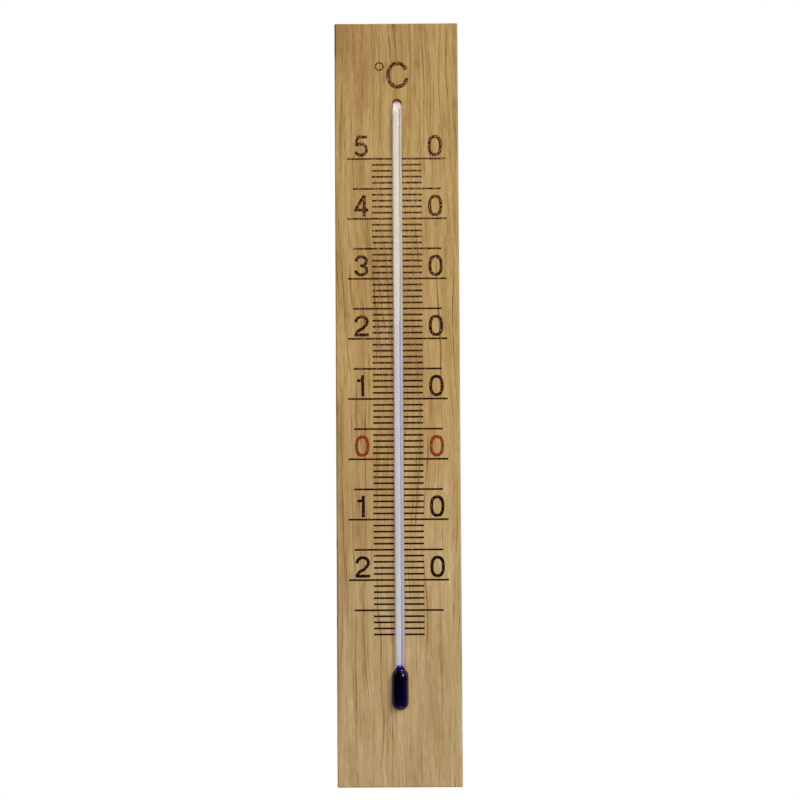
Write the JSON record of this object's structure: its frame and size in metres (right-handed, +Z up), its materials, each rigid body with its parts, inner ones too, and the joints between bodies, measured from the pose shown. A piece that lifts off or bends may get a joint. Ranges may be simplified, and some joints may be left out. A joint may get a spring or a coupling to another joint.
{
  "type": "wall thermometer",
  "caption": "Flat oak board hung by a keyhole plate, with a glass tube of liquid in a front groove and a printed Celsius scale with one-degree lines.",
  "frame": {"origin": "middle of the hanger keyhole's round entry, in the plane of the back", "axes": "+Z up along the board and the tube, -Y out of the printed front, +Y into the wall, +X to the right as seen from the front"},
  "size_m": [0.065, 0.0162, 0.4],
  "materials": {
    "oak": "open-pored, lightly oiled",
    "glass": "clear, drawn",
    "enamel": "white enamel",
    "liquid": "dark blue dyed liquid",
    "adhesive": "translucent silicone",
    "plate_steel": "zinc plated",
    "screw_steel": "zinc plated, bright",
    "black_ink": "screen-printed",
    "red_ink": "screen-printed"
  },
  "bodies": {
    "board_and_tube": {"board": "oak", "glass_tube": "glass", "enamel_strip": "enamel", "bulb_liquid": "liquid", "adhesive_upper": "adhesive", "adhesive_middle": "adhesive", "adhesive_lower": "adhesive", "hanger_plate": "plate_steel", "hanger_screw_left": "screw_steel", "hanger_screw_right": "screw_steel", "one_degree_lines": "black_ink", "five_degree_lines": "black_ink", "ten_degree_lines": "black_ink", "numeral_50": "black_ink", "numeral_40": "black_ink", "numeral_30": "black_ink", "numeral_20": "black_ink", "numeral_10": "black_ink", "numeral_0": "red_ink", "numeral_minus_10": "black_ink", "numeral_minus_20": "black_ink", "unit_sign": "black_ink"},
    "liquid_column": {"liquid_thread": "liquid"}
  },
  "joints": [
    {"name": "liquid_level", "type": "slide", "parent": "board_and_tube", "child": "liquid_column", "axis": [0, 0, 1], "range_m": [-0.16363, 0.08542], "deforming": ["liquid_thread"]}
  ]
}
